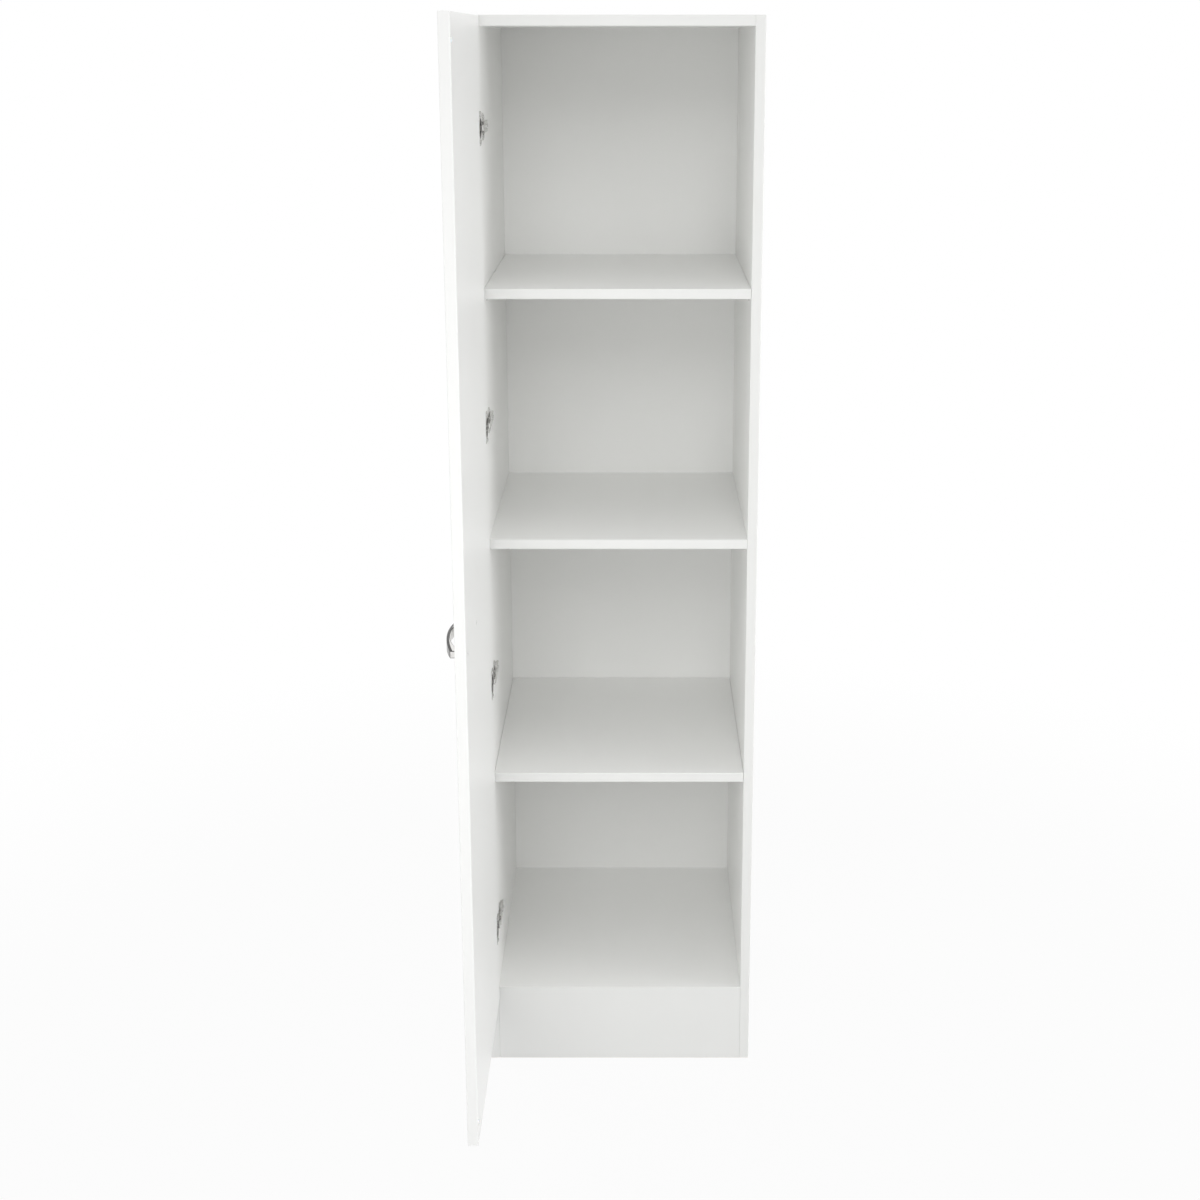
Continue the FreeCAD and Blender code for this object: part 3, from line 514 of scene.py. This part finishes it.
def buffer_rubber():
    """Clear soft bumper plastic, slightly milky."""
    material, tree, shader = new_material("buffer_rubber")
    milk = noise(tree, object_place(tree), MILK_SCALE)
    link(tree, mix_colour(tree, milk, MILK_PALE, MILK_DARK), shader.inputs["Base Color"])
    link(tree, ramp(tree, milk, *MILK_LIMITS, to_low=0.40, to_high=0.55), shader.inputs["Roughness"])
    shader.inputs["Subsurface Weight"].default_value = MILK_WEIGHT
    shader.inputs["Subsurface Scale"].default_value = MILK_DEPTH
    return material


# ---------------------------------------------------------------- finishes on the frame's nodes

FINISHES = {
    "carcass_board": carcass_board(),
    "door_board": door_board(),
    "back_board": back_board(),
    "handle_metal": handle_metal(),
    "hinge_steel": hinge_steel(),
    "screw_steel": screw_steel(),
    "cam_zinc": cam_zinc(),
    "dowel_beech": dowel_beech(),
    "buffer_rubber": buffer_rubber(),
}

for part in frame["record"]["subparts"]:
    for holder in frame["nodes"][part["node"]].material_slots:
        holder.material = FINISHES[part["material_slot"]]


# ---------------------------------------------------------------- floor and light

ROOM_LIGHT = 0.71
FLOOR_SIZE = 40.0
FLOOR_GREYS = ((0.50, 0.50, 0.50), (0.54, 0.54, 0.54))
FLOOR_PATTERN_SCALE = 0.8
FLOOR_ROUGHNESS = 0.8
# Near the cupboard the floor shows this share of plain white over its own grey, and between these
# distances from the cupboard's middle it becomes all white
FLOOR_WHITE_NEAR = 0.94
FLOOR_FADE = (1.1, 2.6)


def white_to_sight(tree, lit, surface, share=1.0):
    """Shows the given share of plain white to the camera and in gloss and glass, and the lit shader
    to all other rays."""
    rays = tree.nodes.new("ShaderNodeLightPath")
    through = math_node(tree, "MAXIMUM", rays.outputs["Is Glossy Ray"], rays.outputs["Is Transmission Ray"])
    seen = math_node(tree, "MAXIMUM", rays.outputs["Is Camera Ray"], through)
    white = put(tree, "ShaderNodeEmission", Color=(1.0, 1.0, 1.0, 1.0), Strength=1.0)
    mix = tree.nodes.new("ShaderNodeMixShader")
    link(tree, math_node(tree, "MULTIPLY", seen, share), mix.inputs[0])
    link(tree, lit, mix.inputs[1])
    link(tree, white.outputs[0], mix.inputs[2])
    link(tree, mix.outputs[0], surface)


def room():
    """Even white room light; to the camera and in gloss it is plain white."""
    world = bpy.data.worlds.new("room light")
    bpy.context.scene.world = world
    world.use_nodes = True
    tree = world.node_tree
    even = tree.nodes["Background"]
    even.inputs["Color"].default_value = (1.0, 1.0, 1.0, 1.0)
    even.inputs["Strength"].default_value = ROOM_LIGHT
    white_to_sight(tree, even.outputs[0], tree.nodes["World Output"].inputs["Surface"])


def floor():
    """A wide pale floor that keeps a faint shadow of the cupboard."""
    half = FLOOR_SIZE / 2
    corners = [(-half, -half, 0.0), (half, -half, 0.0), (half, half, 0.0), (-half, half, 0.0)]
    mesh = bpy.data.meshes.new("floor")
    mesh.from_pydata(corners, [], [(0, 1, 2, 3)])
    slab = bpy.data.objects.new("floor", mesh)
    bpy.context.scene.collection.objects.link(slab)
    material, tree, shader = new_material("floor_white")
    place = object_place(tree)
    x, y, _ = axes(tree, place)
    tone = noise(tree, place, FLOOR_PATTERN_SCALE, detail=3.0)
    link(tree, mix_colour(tree, tone, *FLOOR_GREYS), shader.inputs["Base Color"])
    shader.inputs["Roughness"].default_value = FLOOR_ROUGHNESS
    away = math_node(tree, "SQRT", math_node(tree, "MULTIPLY_ADD", x, x, math_node(tree, "MULTIPLY", y, y)))
    share = ramp(tree, away, *FLOOR_FADE, to_low=FLOOR_WHITE_NEAR, to_high=1.0)
    white_to_sight(tree, shader.outputs[0], tree.nodes["Material Output"].inputs["Surface"], share)
    mesh.materials.append(material)


# Soft square lamps round the cupboard: (name, place, side length, power in watts)
LAMPS = (
    ("front low", (-0.5, -2.0, 1.0), 0.8, 6.0),
    ("front high", (0.0, -6.0, 4.5), 2.4, 87.0),
    ("right far", (3.5, -5.0, 2.0), 2.4, 9.0),
    ("right", (3.0, -0.5, 1.2), 1.6, 31.0),
    ("behind left", (-3.0, 2.5, 2.0), 1.6, 45.0),
)
LAMP_TARGET = (0.0, 0.0, 1.0)


def lamp(name, place, side, power):
    """A soft square lamp aimed at the target; it leaves no hot spot of itself in metal or gloss."""
    light = bpy.data.lights.new(name, "AREA")
    light.shape = "SQUARE"
    light.size = side
    light.energy = power
    body = bpy.data.objects.new(name, light)
    body.location = place
    aim = Vector(LAMP_TARGET) - Vector(place)
    body.rotation_euler = aim.to_track_quat("-Z", "Y").to_euler()
    body.visible_glossy = False
    bpy.context.scene.collection.objects.link(body)


# ---------------------------------------------------------------- camera

# The camera stands almost level with the cupboard's top, a little right of its middle, and looks
# down at it.
CAMERA_PLACE = (0.034, FRONT - 3.245, 1.9106)
TILT = math.radians(15.35)
RENDER_PIXELS = 1200
FOCAL_PIXELS = 1868
SENSOR_MM = 36.0
SHIFT_X = -0.031
SHIFT_Y = -0.04


def camera():
    """The scene's camera. Its focal length is given in pixels of a render RENDER_PIXELS wide."""
    lens = bpy.data.cameras.new("camera")
    lens.sensor_width = SENSOR_MM
    lens.lens = SENSOR_MM * FOCAL_PIXELS / RENDER_PIXELS
    lens.shift_x = SHIFT_X
    lens.shift_y = SHIFT_Y
    body = bpy.data.objects.new("camera", lens)
    body.location = CAMERA_PLACE
    body.rotation_euler = (math.pi / 2 - TILT, 0.0, 0.0)
    bpy.context.scene.collection.objects.link(body)
    bpy.context.scene.camera = body


room()
floor()
for settings in LAMPS:
    lamp(*settings)
camera()
bpy.context.scene.view_settings.view_transform = "Standard"
